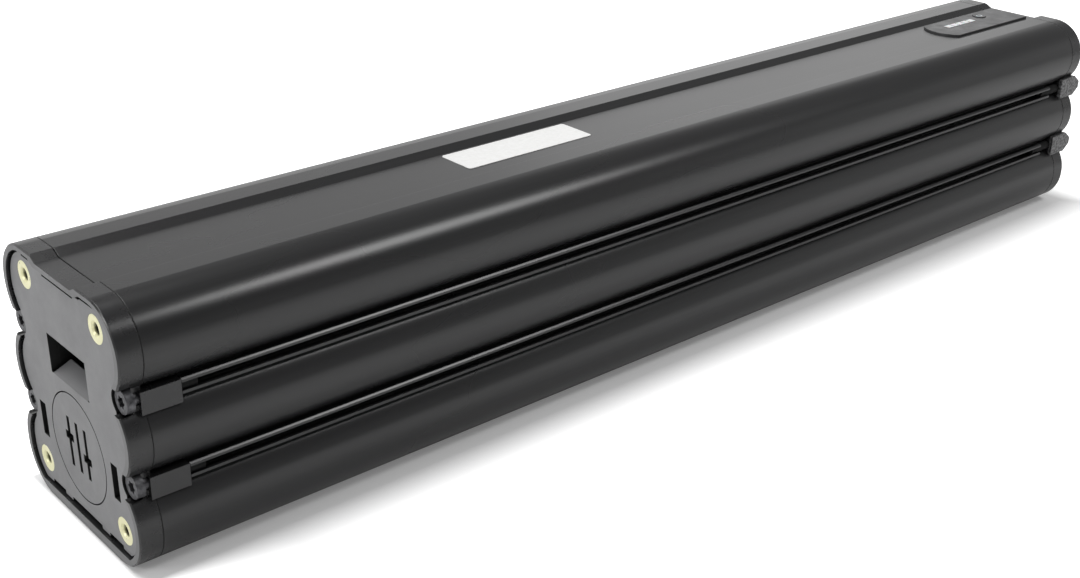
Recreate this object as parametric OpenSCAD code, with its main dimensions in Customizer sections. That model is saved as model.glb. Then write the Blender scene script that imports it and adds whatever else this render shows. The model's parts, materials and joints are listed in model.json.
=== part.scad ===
// Frame battery for an electric bicycle: an aluminium tube with three side lobes,
// a latch end, a connector end and a control panel let into the top.
// X runs along the pack, latch end at -X; Y across it; Z up from the underside.

/* [Cells] */
// Diameter of one cell
cell_d = 21.2; // [20.8:0.1:21.6]
// Length of one cell over its terminal
cell_len = 70; // [64:0.5:72]
// Gap between two layers of cells, for the strips
layer_gap = 0.8; // [0.8:0.1:1.6]
// Radial room round a cell inside the tube
cell_clear = 0.2; // [0.1:0.05:0.4]
// Height of a cell's positive terminal
terminal_h = 0.7; // [0.4:0.1:1]
// Radius of a cell's positive terminal
terminal_r = 4.6; // [3.5:0.1:6]
// Depth of the rolled groove near a cell's terminal
crimp_depth = 0.5; // [0.2:0.1:0.8]
// Distance of the rolled groove from the cell's shoulder
crimp_from_end = 3.4; // [2.5:0.1:5]
// Width of the rolled groove
crimp_w = 1.2; // [0.8:0.1:2]

/* [Tube section] */
// Distance of the side columns of cells from the middle plane
column_y = 19.9; // [19.6:0.1:20.8]
// Height from one row of side cells to the next
row_pitch = 23.4; // [23:0.1:24.5]
// Straight height below the lowest row
foot_rise = 1.2; // [0.6:0.1:2]
// Wall of the tube round the cells
wall = 1.8; // [1.4:0.1:2.2]
// Half width of the flat land along the top
land_half = 10; // [8:0.5:11]
// Run of the slope at each side of the land
land_slope = 3; // [2:0.1:4]
// Depth of the land below the crests
land_depth = 1.5; // [1:0.1:1.8]
// Distance of the screw channels from the middle plane
channel_y = 28.4; // [28:0.1:28.8]
// Radius of the screw channels
channel_r = 1.75; // [1.5:0.05:1.9]
// Half height of a screw channel's block over its lips
channel_half = 2.2; // [2.1:0.1:2.8]
// Slope at the upper lip's edge
ledge = 0.5; // [0.3:0.1:1]
// Slope at the lower lip's edge
lip_slope = 0.3; // [0.2:0.1:0.8]
// Half height of the slot between the lips
slot_half = 1.1; // [0.8:0.1:1.3]
// Distance of the lips' edges from the middle plane
lip_y = 30.7; // [30.4:0.1:31]

/* [Ends] */
// Length from the latch face to the first cell
latch_bay = 16.8; // [16.4:0.1:20]
// Length from the last cell to the connector face
electronics_bay = 36; // [35:0.5:40]
// Depth of each end cap along X
cap_t = 6.2; // [5.6:0.1:7]
// Thickness of each gasket
gasket_t = 0.3; // [0.2:0.1:1]
// Step of a gasket's edge inside the outline
gasket_inset = 0.1; // [0.1:0.1:0.8]
// Step of a gasket's edge below the land
gasket_land = 0.6; // [0.3:0.1:1]
// Chamfer round each end face
chamfer = 0.4; // [0.3:0.1:1.4]
// Width of the end cap across its waists, as a half width
waist_half = 29.2; // [28.6:0.1:29.6]
// Half height of the filled waist of a cap
waist_rise = 6; // [5:0.1:7]
// Rim of the cap round the end plate
rim = 1.5; // [1.3:0.1:2]
// Rim of the cap at the sides of the end plate
rim_side = 2.2; // [1.6:0.1:3.4]
// Rim below the end plate
rim_low = 3.2; // [2.4:0.1:4]
// Gap between the end plate and the rim
plate_gap = 0.5; // [0.3:0.05:0.7]
// Extra gap at the sides of the end plate
side_gap = 0.3; // [0:0.1:1.5]
// Depth of the plate's face behind the rim
plate_drop = 0.9; // [0.4:0.1:1.4]
// Depth of the plate's seat behind the rim's face
plate_t = 3.4; // [3.1:0.1:3.8]
// Depth of the slits in the plate's top and bottom edges
slit_depth = 1; // [0.4:0.1:1.2]
// Half length of the middle slits
slit_mid = 8.6; // [6:0.1:9.4]
// Inner end of the outer slits
slit_in = 13; // [11:0.1:14]
// Outer end of the outer slits
slit_out = 20.4; // [18:0.1:22]
// Length of a cap's tongue in the tube's groove
tongue_len = 9.4; // [8:0.1:12]
// Inner side of a tongue, from the middle plane
tongue_in = 26.2; // [25:0.1:26.2]
// Outer side of a tongue, from the middle plane
tongue_out = 30.9; // [30.4:0.1:31.4]
// Inner side of a tongue's foot, from the middle plane
tongue_foot = 28.9; // [28.7:0.1:29.2]
// Height of a tongue above the channel's middle
tongue_up = 2.2; // [0.4:0.1:2.2]
// Depth of a tongue below the channel's middle
tongue_down = 4; // [3:0.1:4.2]
// Room round a tongue in the tube
tongue_clear = 0.15; // [0.1:0.05:0.3]
// Reach of the connector end's ears past its face
ear_out = 3.4; // [2:0.1:5]
// Outer side of an ear, from the middle plane
ear_y = 31.4; // [31.2:0.1:32.2]
// Start of an ear, from the connector face
ear_back = 9; // [8:0.1:14]
// Half height of an ear
ear_half = 3.8; // [3.6:0.1:5.2]
// Half height of an ear's tip
ear_tip_half = 1.2; // [0.6:0.1:2]
// Radius of the heads of the screws in the ears
ear_head_r = 2.3; // [2:0.1:2.7]

/* [Latch plate] */
// Distance of the upper inserts from the middle plane
insert_top_y = 20.1; // [18:0.1:20.6]
// Depth of the upper inserts below the crests
insert_top_drop = 8.2; // [7.4:0.2:8.2]
// Distance of the lower inserts from the middle plane
insert_low_y = 22.6; // [20:0.1:22.8]
// Height of the lower inserts
insert_low_z = 10.1; // [10:0.1:12]
// Radius of an insert's flange
insert_flange_r = 3.8; // [3.4:0.1:4.4]
// Thickness of an insert's flange
insert_flange_t = 0.8; // [0.5:0.1:1.2]
// Radius of an insert's barrel
insert_r = 3; // [2.6:0.1:3.2]
// Length of an insert
insert_len = 9; // [7:0.1:9.6]
// Radius of an insert's bore
insert_bore_r = 1.65; // [1.2:0.05:2]
// Countersink at an insert's mouth
insert_sink = 0.5; // [0.3:0.1:0.8]
// Wall of the bosses behind the inserts
boss_wall = 1.8; // [1.2:0.1:2.4]
// Width of the latch window
window_w = 21.5; // [18:0.1:23]
// Height of the latch window
window_h = 11; // [9:0.1:12]
// Height of the window's lower edge
window_z = 41.3; // [41:0.1:42.5]
// Depth of the latch pocket behind the plate's face
pocket_depth = 14; // [10:0.1:14.4]
// Wall of the latch pocket
pocket_wall = 1.2; // [0.8:0.1:1.6]
// Length of the ramp at the window's lower edge
ramp_len = 5; // [3:0.1:7]
// Rise of the ramp
ramp_rise = 2.2; // [1:0.1:3]
// Room beside the ramp in the window
ramp_room = 0.9; // [0.3:0.1:2]
// Radius of the round vent cap
vent_r = 15; // [13:0.1:15.4]
// Height of the vent cap's centre
vent_z = 23.5; // [23:0.1:25]
// Thickness of the vent cap
vent_t = 1.8; // [1.4:0.1:2]
// Gap round the vent cap
vent_gap = 0.35; // [0.2:0.05:0.5]
// Radius of the hole behind the vent cap
vent_hole_r = 11; // [9:0.1:12]
// Length of a vent slit
vent_slit_len = 14.6; // [10:0.1:16]
// Width of a vent slit
vent_slit_w = 1.5; // [0.8:0.1:1.8]
// Distance between the vent slits
vent_slit_pitch = 4.8; // [4:0.1:6]
// Length of the short cross slits
vent_cross_len = 4.4; // [2:0.1:5]
// Width of the short cross slits
vent_cross_w = 2.3; // [1.2:0.1:2.6]
// Offset of the cross slits from the vent's centre
vent_cross_off = 1.5; // [0.5:0.1:3]
// Thickness of the vent membrane
membrane_t = 0.4; // [0.2:0.1:0.6]
// Distance of the side slots from the middle plane
side_slot_y = 20.5; // [19.4:0.1:21]
// Width of a side slot
side_slot_w = 3.4; // [2:0.1:3.8]
// Height of a side slot
side_slot_h = 10.2; // [8:0.1:10.6]
// Height of a side slot's centre
side_slot_z = 23.2; // [22.8:0.1:24]

/* [Screws] */
// Radius of a cap screw's head
head_r = 3.2; // [3:0.1:3.5]
// Height of a cap screw's head
head_h = 2.2; // [1.8:0.1:2.6]
// Depth of the head's seat behind the end face
seat_depth = 3.6; // [3.2:0.1:5]
// Radius of the pocket round a head
pocket_r = 3.8; // [3.6:0.1:4.6]
// Length of a cap screw under its head
screw_len = 17; // [15:0.5:32]
// Radial room between a shank and its channel
shank_clear = 0.05; // [0.03:0.01:0.1]
// Radial room between a shank and the hole in its cap
hole_clear = 0.15; // [0.1:0.05:0.3]
// Depth of the drive recess
drive_depth = 1.3; // [0.8:0.1:1.6]
// Radius of the drive recess
drive_r = 1.3; // [1:0.1:1.6]
// Radius of a lobe of the drive recess
drive_lobe_r = 0.45; // [0.3:0.05:0.6]

/* [Connector] */
// Width of the connector's flange
flange_w = 40; // [36:0.5:42]
// Height of the connector's flange
flange_h = 24; // [22:0.5:26]
// Thickness of the connector's flange
flange_t = 1.6; // [1.2:0.1:2]
// Gap round the connector's flange
flange_gap = 0.3; // [0.2:0.05:0.5]
// Width of the connector's mouth
mouth_w = 26; // [22:0.5:28]
// Height of the connector's mouth
mouth_h = 14; // [12:0.5:15]
// Depth of the connector's mouth
mouth_depth = 14; // [10:0.5:15]
// Wall of the connector's shell
shell_wall = 2; // [1.4:0.1:2.4]
// Thickness of the seal behind the flange
seal_t = 0.6; // [0.4:0.1:1]
// Corner radius of the connector
connector_corner = 3; // [2:0.1:4]
// Width of a power blade
blade_w = 6.3; // [4:0.1:7]
// Thickness of a power blade
blade_t = 0.8; // [0.6:0.1:1.2]
// Distance between the power blades
blade_pitch = 16; // [12:0.5:18]
// Reach of a blade or a pin into the mouth
contact_reach = 9; // [6:0.5:11]
// Radius of a signal pin
pin_r = 0.5; // [0.4:0.05:0.7]
// Distance between the signal pins
pin_pitch = 2.5; // [2:0.1:2.6]
// Number of signal pins
pin_count = 4; // [2:1:4]
// Radius of the flange screws' heads
flange_head_r = 1.9; // [1.5:0.1:2.2]
// Radius of the flange screws' shanks
flange_screw_r = 1.1; // [0.9:0.1:1.3]
// Length of a flange screw under its head
flange_screw_len = 5; // [4:0.1:6]
// Height of a flange screw's head
flange_head_h = 1; // [0.8:0.1:1.2]
// Distance of the flange screws from the flange's edges
flange_screw_in = 2.9; // [2.6:0.1:3.2]

/* [Electronics] */
// Thickness of the battery management board
board_t = 1.6; // [1.2:0.1:2]
// Width of the board
board_w = 38; // [34:0.5:39]
// Room between the board and the floor of the tube
board_room = 7.4; // [6:0.1:9]
// Room between the board and the panel's board
board_under = 1.1; // [0.8:0.1:3]
// Distance of the board from the connector face
board_back = 29.4; // [28:0.1:31]
// Distance of the board's holes from its edges
board_hole_in = 4; // [3:0.1:5]
// Radius of the standoffs
standoff_r = 2.6; // [2:0.1:3]
// Radius of the board screws' shanks
board_screw_r = 1.2; // [1:0.05:1.4]
// Radius of the board screws' heads
board_head_r = 2.3; // [1.8:0.1:2.6]
// Height of the board screws' heads
board_head_h = 1.3; // [1:0.1:1.6]
// Length of the board screws
board_screw_len = 7; // [5:0.1:9]
// Side of a power transistor
chip_s = 6; // [4:0.1:6.4]
// Height of a power transistor
chip_h = 2.3; // [1.5:0.1:3]
// Distance between the power transistors
chip_pitch = 7.2; // [6.8:0.1:8]
// Radius of a capacitor
cap_r = 2.5; // [2:0.1:3]
// Height of a capacitor
cap_h = 7; // [5:0.1:9]
// Radius of the main leads
lead_r = 1.8; // [1.4:0.1:2.2]
// Room between the leads and the middle cells
lead_gap = 2.1; // [1:0.1:3]
// Width of the sense ribbon
ribbon_w = 10; // [6:0.5:12]
// Thickness of the sense ribbon
ribbon_t = 0.8; // [0.5:0.1:1.2]
// Thickness of the nickel strips
strip_t = 0.3; // [0.2:0.05:0.35]
// Width of the nickel strips
strip_w = 8; // [6:0.5:9]
// Thickness of the cell holders
holder_t = 2.4; // [1.6:0.1:3]
// Distance of a holder from its cell's end
holder_from_end = 6; // [5:0.1:8]
// Thickness of the insulating sheets
sheet_t = 0.8; // [0.5:0.1:1]
// Thickness of the foam pad at the latch end
foam_t = 1; // [0.6:0.1:1.2]

/* [Control panel] */
// Length of the control panel
panel_len = 48.4; // [42:0.1:52]
// Half width of the control panel
panel_half = 8.2; // [7.5:0.1:9.5]
// Thickness of the control panel over the land
panel_t = 0.7; // [0.5:0.1:1.3]
// Distance of the panel from the connector face
panel_back = 3.2; // [2:0.1:5]
// Rise of the panel's round near end
panel_nose = 3.6; // [2:0.1:5]
// Length of the light bar
bar_len = 17; // [14:0.1:22]
// Width of the light bar
bar_w = 2.6; // [2:0.1:4]
// Distance of the light bar's middle from the connector face
bar_back = 33.8; // [33:0.1:36]
// Sideways place of the light bar
bar_y = 1.7; // [0:0.1:3]
// Rise of the light bar over the panel
bar_rise = 0.15; // [0.05:0.05:0.3]
// Radius of the button's top
button_r = 2.4; // [2.2:0.1:3.4]
// Rise of the button over the panel
button_rise = 0.25; // [0.1:0.05:0.3]
// Travel of the button
button_travel = 0.5; // [0.3:0.05:0.6]
// Gap round the button
button_gap = 0.3; // [0.3:0.05:0.4]
// Distance of the button from the connector face
button_back = 18; // [16:0.1:19]
// Sideways place of the button
button_y = 3.7; // [0:0.1:4]
// Width of the retaining collar of the button
collar_w = 0.8; // [0.6:0.1:1]
// Thickness of the retaining collar of the button
collar_t = 0.5; // [0.4:0.05:0.7]
// Length of the blank white label
label_len = 47.6; // [40:0.5:52]
// Width of the blank white label
label_w = 13.8; // [10:0.1:14]
// Distance of the label's middle from the latch face
label_front = 148; // [120:0.5:200]
// Sideways place of the label
label_y = 2; // [0:0.1:3]
// Thickness of the label
label_t = 0.15; // [0.1:0.05:0.3]
// Corner radius of the label
label_corner = 1; // [0.5:0.1:2]

/* [Hidden] */
$fn = 64;
// One overrun for all cuts
over = 1;
cell_r = cell_d / 2;
bore_r = cell_r + cell_clear;
lobe_r = bore_r + wall;
low_z = lobe_r;
row_z = [for (i = [0:2]) lobe_r + foot_rise + i * row_pitch];
groove_z = [for (i = [0:1]) row_z[i] + row_pitch / 2];
case_h = row_z[2] + lobe_r;
land_z = case_h - land_depth;
layers = 5;
layer_step = cell_len + layer_gap;
body_len = latch_bay + layers * layer_step - layer_gap + electronics_bay;
overall = body_len + ear_out;
latch_x = -overall / 2;
far_x = latch_x + body_len;
tube_x = latch_x + cap_t + gasket_t;
tube_len = body_len - 2 * (cap_t + gasket_t);
// Places of the cells in the section: three rows of two and two in the middle
cell_yz = concat([for (z = row_z, s = [-1, 1]) [s * column_y, z]], [for (z = groove_z) [0, z]]);
// Both sides and both channels, as places of the cap screws
screw_yz = [for (z = groove_z, s = [-1, 1]) [s * channel_y, z]];
insert_yz = [for (s = [-1, 1]) [s * insert_top_y, case_h - insert_top_drop],
             for (s = [-1, 1]) [s * insert_low_y, insert_low_z]];
plate_x = latch_x + plate_drop;
plate_back = latch_x + plate_t;
seat_x = latch_x + seat_depth;
blind_wall = 0.8;
blind_depth = cap_t - blind_wall;
// Length of the bare groove at each end of the tube
relief = tongue_len + tongue_clear;
// Wall of the ceiling below the land
ceiling_z = land_z - wall;
fit_gap = 0.1;
sheet_clear = 0.4;
connector_z = row_z[1];
shell_w = mouth_w + 2 * shell_wall;
shell_h = mouth_h + 2 * shell_wall;
shell_back = far_x - mouth_depth - shell_wall;
board_x = far_x - board_back - board_t;
panel_board_t = 1;
panel_board_half = 8;
panel_board_drop = 2.6;
panel_board_top = ceiling_z - panel_board_drop;
board_low = wall + board_room;
board_h = panel_board_top - panel_board_t - board_under - board_low;
board_z = board_low + board_h / 2;
board_yz = [for (s = [-1, 1], t = [-1, 1])
    [s * (board_w / 2 - board_hole_in), board_z + t * (board_h / 2 - board_hole_in)]];
flange_yz = [for (s = [-1, 1], t = [-1, 1])
    [s * (flange_w / 2 - flange_screw_in), connector_z + t * (flange_h / 2 - flange_screw_in)]];
panel_x1 = far_x - panel_back;
panel_x0 = panel_x1 - panel_len;
panel_top = land_z + panel_t;
button_x = far_x - button_back;
button_top = panel_top + button_rise;
collar_r = button_r + collar_w;
collar_top = land_z;
collar_low = collar_top - collar_t;
switch_half = 3;
switch_drop = 0.4;
switch_top = ceiling_z - switch_drop;
plunger_r = 1.2;
plunger_gap = 0.05;
stem_h = 0.2;
plunger_top = collar_low - stem_h;
stem_r = 1.7;
bar_x = far_x - bar_back;

// Extrudes a drawing of the Y-Z plane along +X
module along_x(x0, len) translate([x0, 0, 0]) rotate([90, 0, 90]) linear_extrude(len) children();
// A round rod along +X
module rod_x(x0, len, r) translate([x0, 0, 0]) rotate([0, 90, 0]) cylinder(h = len, r = r);
module rect(w, h) translate([-w / 2, -h / 2]) square([w, h]);
module round_rect(w, h, r) {
    rect(w - 2 * r, h);
    rect(w, h - 2 * r);
    for (s = [-1, 1], t = [-1, 1]) translate([s * (w / 2 - r), t * (h / 2 - r)]) circle(r);
}
// The three rows of lobes with their straight core
module rows(r) rows_in(r, 0);
// The same rows with their outer circles moved inwards by d
module rows_in(r, d) {
    y = column_y - d;
    for (z = concat([low_z], row_z)) {
        for (s = [-1, 1]) translate([s * y, z]) circle(r);
        translate([-y, z - r]) square([2 * y, 2 * r]);
    }
    translate([-y - r, low_z]) square([2 * (y + r), foot_rise]);
    translate([-y, low_z]) square([2 * y, row_z[2] - low_z]);
}
// The recess of the land, drawn as what is taken away
module land(drop, widen) polygon([[-land_half - widen, land_z - drop],
    [land_half + widen, land_z - drop], [land_half + land_slope + widen, case_h - drop],
    [land_half + land_slope + widen, case_h + over],
    [-land_half - land_slope - widen, case_h + over],
    [-land_half - land_slope - widen, case_h - drop]]);
module waists(half, rise) for (z = groove_z) translate([-half, z - rise])
    square([2 * half, 2 * rise]);
module cavity() difference() {
    rows(bore_r);
    land(wall, wall);
}
// The blocks of the screw channels, with a slope at the edge of each lip
module lips() for (z = groove_z) translate([0, z]) polygon([
    [-lip_y, -channel_half + lip_slope], [-lip_y + lip_slope, -channel_half],
    [lip_y - lip_slope, -channel_half], [lip_y, -channel_half + lip_slope],
    [lip_y, channel_half - ledge], [lip_y - ledge, channel_half],
    [-lip_y + ledge, channel_half], [-lip_y, channel_half - ledge]]);
module channels() for (c = screw_yz) translate(c) {
    circle(channel_r);
    translate([c[0] > 0 ? 0 : -(lip_y + over - channel_y), -slot_half])
        square([lip_y + over - channel_y, 2 * slot_half]);
}
// A cap's tongue, with room c round it and its top at height up
module tongue(c, up, out) for (z = groove_z, s = [-1, 1]) translate([0, z]) scale([s, 1])
    polygon([[tongue_in - c, up], [out, up], [out, -tongue_down - c],
        [tongue_foot - c, -tongue_down - c], [tongue_foot - c, -channel_half],
        [tongue_in - c, -c]]);

module housing() color("#4b4c4e") difference() {
    union() {
        along_x(tube_x, tube_len) difference() { rows(lobe_r); land(0, 0); cavity(); }
        along_x(tube_x + relief, tube_len - 2 * relief) difference() {
            lips();
            waists(column_y, channel_half + over);
            cavity();
        }
    }
    along_x(tube_x + relief - over, tube_len - 2 * relief + 2 * over) channels();
    along_x(tube_x - over, relief + over)
        tongue(tongue_clear, tongue_up + tongue_clear, lip_y + over);
    translate([button_x, button_y, ceiling_z - over])
        cylinder(h = wall + 2 * over, r = collar_r + button_gap);
    translate([bar_x, bar_y, ceiling_z - over]) linear_extrude(wall + 2 * over)
        rect(bar_len + fit_gap, bar_w + fit_gap);
}

// A slab of the caps' outline whose lobes narrow to the chamfer at one face
module cap_slab(x0, flip) {
    straight = cap_t - chamfer;
    along_x(flip ? x0 : x0 + chamfer, straight) rows(lobe_r);
    translate([flip ? x0 + cap_t : x0, 0, 0]) mirror([flip ? 1 : 0, 0, 0]) {
        for (z = concat([low_z], row_z)) {
            for (s = [-1, 1]) translate([0, s * column_y, z]) rotate([0, 90, 0])
                cylinder(h = chamfer, r1 = lobe_r - chamfer, r2 = lobe_r);
            translate([0, column_y, z]) rotate([90, 0, 0]) linear_extrude(2 * column_y)
                polygon([[0, -lobe_r + chamfer], [chamfer, -lobe_r],
                    [chamfer, lobe_r], [0, lobe_r - chamfer]]);
        }
        translate([0, 0, low_z]) linear_extrude(foot_rise)
            polygon([[0, -column_y - lobe_r + chamfer], [chamfer, -column_y - lobe_r],
                [chamfer, column_y + lobe_r], [0, column_y + lobe_r - chamfer]]);
        translate([0, -column_y, low_z]) cube([chamfer, 2 * column_y, row_z[2] - low_z]);
    }
    along_x(x0, cap_t) waists(waist_half, waist_rise);
}
// The end plate's outline, drawn in by c from the rim's inner side
module plate_outline(c, d) difference() {
    union() {
        rows_in(lobe_r - rim - c, rim_side - rim + d);
        waists(waist_half - rim_side - c - d, waist_rise);
    }
    land(rim + c, rim + c);
    translate([-lobe_r - column_y, -over])
        square([2 * (lobe_r + column_y), rim_low + c + over]);
    for (p = screw_yz) translate(p) circle(pocket_r + (c > 0 ? fit_gap : 0));
}
module at_points(list) for (p = list) translate([0, p[0], p[1]]) children();
module cap_land(x0) along_x(x0 - over, cap_t + 2 * over) land(0, 0);

module latch_end_cap() color("#3d3e40") difference() {
    union() {
        cap_slab(latch_x, false);
        along_x(latch_x + cap_t - over, gasket_t + tongue_len + over)
            tongue(0, tongue_up, tongue_out);
    }
    cap_land(latch_x);
    along_x(latch_x - over, plate_t + over) plate_outline(0, 0);
    along_x(latch_x, blind_depth) intersection() { slits(); plate_outline(0, 0); }
    at_points(screw_yz) rod_x(latch_x - over, seat_depth + over, pocket_r);
    at_points(screw_yz)
        rod_x(latch_x, cap_t + gasket_t + tongue_len + over, channel_r + hole_clear);
    at_points(insert_yz) rod_x(latch_x, cap_t + over, insert_r + boss_wall + plate_gap);
    along_x(latch_x, cap_t + over) translate([0, window_z + window_h / 2])
        rect(window_w + 2 * pocket_wall + plate_gap, window_h + 2 * pocket_wall + plate_gap);
    at_points([[0, vent_z]]) rod_x(latch_x, cap_t + over, vent_hole_r);
    along_x(latch_x, blind_depth) for (s = [-1, 1])
        translate([s * side_slot_y, side_slot_z]) rect(side_slot_w, side_slot_h);
}

module slits() {
    inner = rim + plate_gap + slit_depth;
    translate([-slit_mid, land_z - inner]) square([2 * slit_mid, over + slit_depth]);
    translate([-slit_mid, rim_low - over]) square([2 * slit_mid, over + plate_gap + slit_depth]);
    for (s = [-1, 1]) scale([s, 1]) {
        translate([slit_in, case_h - inner])
            square([slit_out - slit_in, over + slit_depth]);
        translate([slit_in, rim_low - over])
            square([slit_out - slit_in, over + plate_gap + slit_depth]);
    }
}
module latch_end_plate() color("#8f9091") difference() {
    union() {
        along_x(plate_x, plate_t - plate_drop) difference() {
            plate_outline(plate_gap, side_gap);
            slits();
        }
        at_points(insert_yz) rod_x(plate_x, insert_len + boss_wall, insert_r + boss_wall);
    }
    at_points(insert_yz) {
        rod_x(plate_x - over, insert_flange_t + over, insert_flange_r + shank_clear);
        rod_x(plate_x - over, insert_len + over, insert_r + shank_clear);
    }
    along_x(latch_x - over, plate_t + 2 * over) {
        translate([0, window_z + window_h / 2]) rect(window_w, window_h);
        for (s = [-1, 1]) translate([s * side_slot_y, side_slot_z])
            rect(side_slot_w, side_slot_h);
    }
    at_points([[0, vent_z]]) {
        rod_x(plate_x - over, vent_t + over, vent_r + vent_gap);
        rod_x(latch_x - over, plate_t + 2 * over, vent_hole_r);
    }
}

module latch_pocket() color("#303133") difference() {
    union() {
        along_x(plate_back, pocket_depth - plate_t) translate([0, window_z + window_h / 2])
            rect(window_w + 2 * pocket_wall, window_h + 2 * pocket_wall);
        ramp();
    }
    difference() {
        along_x(plate_back - over, pocket_depth - plate_t - pocket_wall + over)
            translate([0, window_z + window_h / 2]) rect(window_w, window_h);
        ramp();
    }
}
module ramp() translate([plate_x, window_w / 2 - ramp_room, window_z]) rotate([90, 0, 0])
    linear_extrude(window_w - 2 * ramp_room)
        polygon([[0, 0], [ramp_len, ramp_rise], [ramp_len + ramp_rise, 0]]);

module threaded_inserts() color("#c9a84c") at_points(insert_yz) translate([plate_x, 0, 0])
    rotate([0, 90, 0]) rotate_extrude() polygon([
        [insert_bore_r + insert_sink, 0], [insert_flange_r, 0],
        [insert_flange_r, insert_flange_t], [insert_r, insert_flange_t],
        [insert_r, insert_len], [insert_bore_r, insert_len], [insert_bore_r, insert_sink]]);

module vent_cap() color("#868788") at_points([[0, vent_z]]) difference() {
    rod_x(plate_x, vent_t, vent_r);
    along_x(plate_x - over, vent_t + 2 * over) {
        for (i = [-1:1]) translate([i * vent_slit_pitch, 0]) rect(vent_slit_w, vent_slit_len);
        for (s = [-1, 1]) translate([s * vent_slit_pitch, s * vent_cross_off])
            rect(vent_cross_len, vent_cross_w);
    }
}
module vent_membrane() color("#2a2a2c") at_points([[0, vent_z]])
    rod_x(plate_x + vent_t, membrane_t, vent_hole_r - fit_gap);

// A cap screw along +X with a head of radius r and its face at x = 0
module cap_screw(r) {
    difference() {
        rod_x(0, head_h, r);
        rod_x(-over, drive_depth + over, drive_r);
        for (a = [0:60:300]) rotate([a, 0, 0]) translate([0, drive_r, 0])
            rod_x(-over, drive_depth + over, drive_lobe_r);
    }
    rod_x(head_h, screw_len, channel_r - shank_clear);
}
module latch_cap_screws() color("#5a5b5e") at_points(screw_yz)
    translate([seat_x - head_h, 0, 0]) cap_screw(head_r);

module gasket(x0) color("#1c1c1e") along_x(x0, gasket_t) difference() {
    rows(lobe_r - gasket_inset);
    land(gasket_land, gasket_inset);
    cavity();
    tongue(tongue_clear, tongue_up + tongue_clear, lip_y + over);
}
module latch_end_gasket() gasket(latch_x + cap_t);

module sheet_outline() difference() {
    rows(bore_r - sheet_clear);
    land(wall + sheet_clear, wall + sheet_clear);
}
module latch_insulator() color("#c8c2a8")
    along_x(latch_x + latch_bay - strip_t - sheet_t, sheet_t) sheet_outline();
module latch_foam() color("#3a3a3d")
    along_x(latch_x + latch_bay - strip_t - sheet_t - foam_t, foam_t)
        translate([0, board_z]) rect(2 * column_y, board_h);

// One cell along +X from x = 0: sleeve, rolled groove and terminal
module cell() rotate([0, 90, 0]) rotate_extrude() polygon([
    [0, 0], [cell_r, 0], [cell_r, cell_len - crimp_from_end - crimp_w],
    [cell_r - crimp_depth, cell_len - crimp_from_end - crimp_w / 2],
    [cell_r, cell_len - crimp_from_end], [cell_r, cell_len - terminal_h],
    [terminal_r, cell_len - terminal_h], [terminal_r, cell_len], [0, cell_len]]);
module cell_layer(i) color(i % 2 == 0 ? "#2f7f86" : "#37919a")
    at_points(cell_yz) translate([latch_x + latch_bay + i * layer_step, 0, 0]) cell();
module cell_layer_1() cell_layer(0);
module cell_layer_2() cell_layer(1);
module cell_layer_3() cell_layer(2);
module cell_layer_4() cell_layer(3);
module cell_layer_5() cell_layer(4);

module cell_holders() color("#23262b") for (i = [0:layers - 1])
    for (d = [holder_from_end, cell_len - holder_from_end - holder_t])
        along_x(latch_x + latch_bay + i * layer_step + d, holder_t) difference() {
            sheet_outline();
            for (p = cell_yz) translate(p) circle(cell_r);
            translate([-lead_bay / 2, 0]) square([lead_bay, lead_z + lead_r + sheet_clear]);
            translate([0, ceiling_z])
                rect(2 * (panel_board_half + sheet_clear), 2 * (ceiling_z - ribbon_z + sheet_clear));
        }

// Two strips on each end of each layer, each joining four cells
module strip_pair() for (s = [-1, 1]) {
    translate([s * (column_y - fit_gap - strip_w / 2), connector_z])
        rect(strip_w, 2 * row_pitch + strip_w);
    translate([min(0, s * (column_y - fit_gap)), groove_z[(s + 1) / 2] - strip_w / 2])
        square([column_y - fit_gap, strip_w]);
}
module nickel_strips() color("#b9b7b0") {
    for (i = [0:layers]) along_x(i == 0 ? latch_x + latch_bay - strip_t
        : latch_x + latch_bay + i * layer_step - layer_gap, strip_t) strip_pair();
}

lead_z = groove_z[0] - cell_r - lead_r - lead_gap;
lead_bay = 2 * column_y - cell_d;
module main_lead(s) at_points([[s * (lead_r + strip_t), lead_z]])
    rod_x(latch_x + latch_bay + crimp_w, board_x - latch_x - latch_bay - crimp_w, lead_r);
module main_lead_positive() color("#b3261e") main_lead(1);
module main_lead_negative() color("#1a1a1b") main_lead(-1);
fuse_len = 18;
fuse_w = 12;
fuse_h = 3;
fuse_x = latch_x + latch_bay + layers * layer_step - layer_gap - fuse_len;
module fuse_holder() color("#d9902f")
    translate([fuse_x, -fuse_w / 2, lead_z - lead_r - fuse_h])
        cube([fuse_len, fuse_w, fuse_h]);
ribbon_drop = 5.4;
ribbon_z = ceiling_z - ribbon_drop;
module sense_ribbon() color("#8d9096")
    translate([latch_x + latch_bay + crimp_w, -ribbon_w / 2, ribbon_z])
        cube([board_x - latch_x - latch_bay - crimp_w, ribbon_w, ribbon_t]);
bead_r = 1.5;
bead_len = 6;
module temperature_sensors() color("#26272a") for (i = [1, 3])
    translate([latch_x + latch_bay + (i + 0.5) * layer_step, 0, ribbon_z - bead_r])
        rod_x(-bead_len / 2, bead_len, bead_r);

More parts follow.
